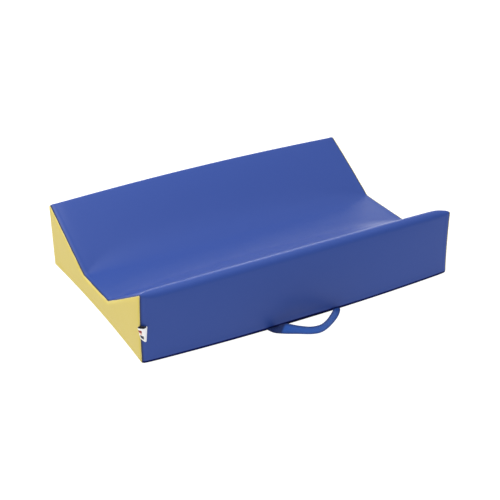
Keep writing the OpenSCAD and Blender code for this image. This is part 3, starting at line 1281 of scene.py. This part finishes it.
makeTeeth("zipTeethUpper", "zip_teeth_upper", -1, 0.0)
makeTeeth("zipTeethLower", "zip_teeth_lower", 1, 0.5)
stitchReach = cover["halfLength"] - zipper["stitchMargin"]
stitchHeights = (cover["zipTop"] + zipper["stitchEdge"], cover["hemTop"] - zipper["stitchEdge"])
makeStitches("zipStitches", [
    (cover["halfWidth"] + zipper["stitchOut"], height, stitchReach) for height in stitchHeights
])
for node in ("zip_tape_upper", "zip_tape_lower"):
    refineNode(node, zipTapeCloth, 0.15 * mm)
for node in ("zip_stop_left", "zip_stop_right", "zip_slider_body"):
    refineNode(node, nickelPlate, 0.3 * mm)
refineNode("zip_pull_tab", nickelPlate, 0.2 * mm)
refineNode("handle_bartacks", navyThread, 0.1 * mm)
print("zip made")

handleLook = {
    "thickness": 1.6 * mm,
    "halfWidth": 12.5 * mm,
    "steps": 9,
    "low": [  # the strap's lower edge from its left end to its right, in millimetres
        (-124, -287, 2.3), (-123, -300, 2.3), (-118, -313.2, 2.3), (-115, -324.5, 2), (-109, -338, 1.6),
        (-97.5, -348, 1), (-82.5, -358.5, 0.8), (-58, -373, 0.8), (-33, -389, 0.8), (-9, -396, 0.8),
        (16, -389, 0.8), (41, -374.5, 0.9), (64, -358, 1), (82.5, -341, 1.2), (95, -325.5, 2),
        (100, -313.2, 2.3), (100, -300, 2.3), (100, -287, 2.3),
    ],
    "high": [  # and its upper edge
        (-99, -287, 2.3), (-98, -300, 2.3), (-94, -313.2, 2.3), (-93, -321, 5), (-91, -328, 11),
        (-87, -335, 17.5), (-77, -348, 24.2), (-58.5, -372, 25), (-35, -393, 25.4), (-9, -398, 25.7),
        (15.4, -387, 25.7), (38, -369.5, 25.3), (57, -351, 23), (69, -335, 17), (74, -322.5, 7),
        (75, -313.2, 2.3), (75, -300, 2.3), (75, -287, 2.3),
    ],
    "rootShadeEdge": -85 * mm,  # painted shade: left of this the strap's root is painted dark, as the mat shades it
    "rootShadeLean": 8.0 * mm,
    "rootShadeBlur": 4.0 * mm,
    "profile": [  # across the strap: the share of its half width and of its thickness
        (-1, 0.55), (-0.93, 1), (-0.8, 1), (-0.4, 1), (0, 1), (0.4, 1), (0.8, 1), (0.93, 1), (1, 0.55),
    ],
    "selvedge": (0.68, 0.88),  # from and to these shares of its half width it darkens
}


def smoothPath(path, steps):  # a curve through every point of a path given in millimetres
    path = np.array(path, float) * mm
    line = []
    for index in range(len(path) - 1):
        a, b = path[max(index - 1, 0)], path[index]
        c, d = path[index + 1], path[min(index + 2, len(path) - 1)]
        for step in range(steps):
            t = step / steps
            line.append(0.5 * (2 * b + (c - a) * t + (2 * a - 5 * b + 4 * c - d) * t * t
                               + (3 * b - a - 3 * c + d) * t ** 3))
    line.append(path[-1])
    return np.array(line)


def makeHandle(look):
    low = smoothPath(look["low"], look["steps"])
    high = smoothPath(look["high"], look["steps"])
    middle = (low + high) / 2
    ahead = np.gradient(middle, axis=0)
    ahead /= np.linalg.norm(ahead, axis=1)[:, None]
    across = high - low
    width = np.linalg.norm(across, axis=1)[:, None]
    across /= width
    out = np.cross(ahead, across)
    out /= np.linalg.norm(out, axis=1)[:, None]
    run = runAlong(middle)
    loop = look["profile"] + [(share, -thick) for share, thick in look["profile"][::-1]]
    share, thick = np.array(loop).T[..., None]
    points = middle[:, None] + (across * width / 2)[:, None] * share
    points += out[:, None] * thick * look["thickness"] / 2
    # painted shade over the strap's left root, with a slanted soft edge
    rootShade = (look["rootShadeEdge"] + look["rootShadeLean"] * share[:, 0] - points[..., 0]) / look["rootShadeBlur"]
    edgeFrom, edgeTo = look["selvedge"]
    selvedge = np.clip((abs(share[:, 0]) - edgeFrom) / (edgeTo - edgeFrom), 0, 1)
    size = len(loop)
    last = len(low) * size
    faces = [tuple(range(size)), tuple(range(last - size, last))[::-1]] + tubeFaces(0, len(low), size, True)
    strap = makePiece("handleWebbing", points.reshape(-1, 3), faces, handleWebbing, {
        "along": np.repeat(run, size),
        "across": np.tile(share[:, 0] * look["halfWidth"], len(low)),
        "selvedge": np.tile(selvedge, len(low)),
        "under": np.clip(rootShade, 0, 1).ravel(),
    })
    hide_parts("handle_strap", "handle_tail_left", "handle_tail_right")
    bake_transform(strap)
    print("handle length", round(run[-1], 4))
    return strap


makeHandle(handleLook)
print("handle made")

tagLook = {
    "path": [  # round the loop: x, y, its lower and upper edges, and how far left its lower edge lies
        (-452.6, -295.6, 75, 106, 0), (-458.0, -297.5, 76, 107, -2), (-462.0, -300.0, 76, 107, -4.5),
        (-463.2, -303.0, 75.5, 106, -5.2), (-458.8, -306.6, 72, 105, -3.5), (-451.8, -309.4, 67.5, 104, -1),
        (-445.0, -307.6, 64.5, 103, 2.5), (-439.8, -304.2, 63, 102.5, 4.2), (-438.2, -302.2, 63, 102.5, 4.4),
        (-441.0, -301.4, 65, 104, 3), (-447.0, -301.8, 69, 106, 0), (-451.5, -300.0, 73, 107, 0),
        (-452.6, -296.4, 75, 106, 0),
    ],
    "steps": 6,
    "stepsUp": 12,
    "wall": 0.45 * mm,
}


def makeTag(look):
    path = np.array(look["path"])
    foot = smoothPath(path[:, [0, 1, 2]] - path[:, [4, 4, 4]] * (1, 0, 0), look["steps"])
    head = smoothPath(path[:, [0, 1, 3]], look["steps"])
    run = runAlong(foot[:, :2])
    shares = np.linspace(0, 1, look["stepsUp"] + 1)
    points = [foot + (head - foot) * share for share in shares]
    along = np.tile(run / run[-1], len(shares))
    across = np.repeat(shares, len(run))
    tag = makePiece("labelTag", np.vstack(points), gridFaces(len(shares), len(run)), labelRibbon,
                    {"along": along, "across": across})
    thicken(tag, look["wall"])
    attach(tag, "mat")
    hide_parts("label_tag")
    return tag


makeTag(tagLook)
print("label made")

studio = {
    "floorSize": 12.0,
    "floorShades": ((0.24, 0.24, 0.24, 1.0), (0.26, 0.26, 0.26, 1.0)),
    "floorGlow": 0.95,  # the mat stands on a lit white table
    "world": 0.55,
    "lamps": {  # place, aim, size and power
        "ceiling": ((1.07, 0.08, 2.4), (0, 0, 0), (2.6, 2.6), 14),
        "glow": ((2.2, 3.3, 1.5), (0.3, 0, 0.1), (3.4, 2.8), 7),
        "horizon": ((1.2, 3.6, 0.85), (0, -0.3, 0.2), (3.0, 1.4), 42),
        "side": ((-1.2, 0.6, 2.7), (0, 0, 0), (2.0, 2.0), 71),
        "fill": ((-1.5, -2.6, 2.2), (0, 0, 0), (1.6, 1.6), 12),
    },
}
white = (1.0, 1.0, 1.0, 1.0)


def makeStudio(look):
    size = look["floorSize"]
    corners = [(-size, -size, 0), (size, -size, 0), (size, size, 0), (-size, size, 0)]
    graph = Graph("paleFloor")
    shade = graph.mix(graph.noise(graph.place(), 3.0), *look["floorShades"])
    paleFloor = graph.finish(
        Base_Color=shade, Roughness=0.9, Emission_Color=white, Emission_Strength=look["floorGlow"]
    )
    floor = makePiece("floor", corners, [(0, 1, 2, 3)], paleFloor)
    world = bpy.data.worlds.new("studioWorld")
    world.use_nodes = True
    backdrop = world.node_tree.nodes["Background"]
    backdrop.inputs["Color"].default_value = white
    backdrop.inputs["Strength"].default_value = look["world"]
    bpy.context.scene.world = world
    return floor


def areaLight(name, place, target, size, power):
    data = bpy.data.lights.new(name, "AREA")
    data.shape = "RECTANGLE"
    data.size, data.size_y = size
    data.energy = power
    lamp = bpy.data.objects.new(name, data)
    bpy.context.scene.collection.objects.link(lamp)
    lamp.location = place
    lamp.rotation_euler = (Vector(target) - Vector(place)).to_track_quat("-Z", "Y").to_euler()
    return lamp


makeStudio(studio)
for lampName, lampFacts in studio["lamps"].items():
    areaLight(lampName, *lampFacts)
bpy.context.scene.view_settings.view_transform = "Standard"
print("studio made")
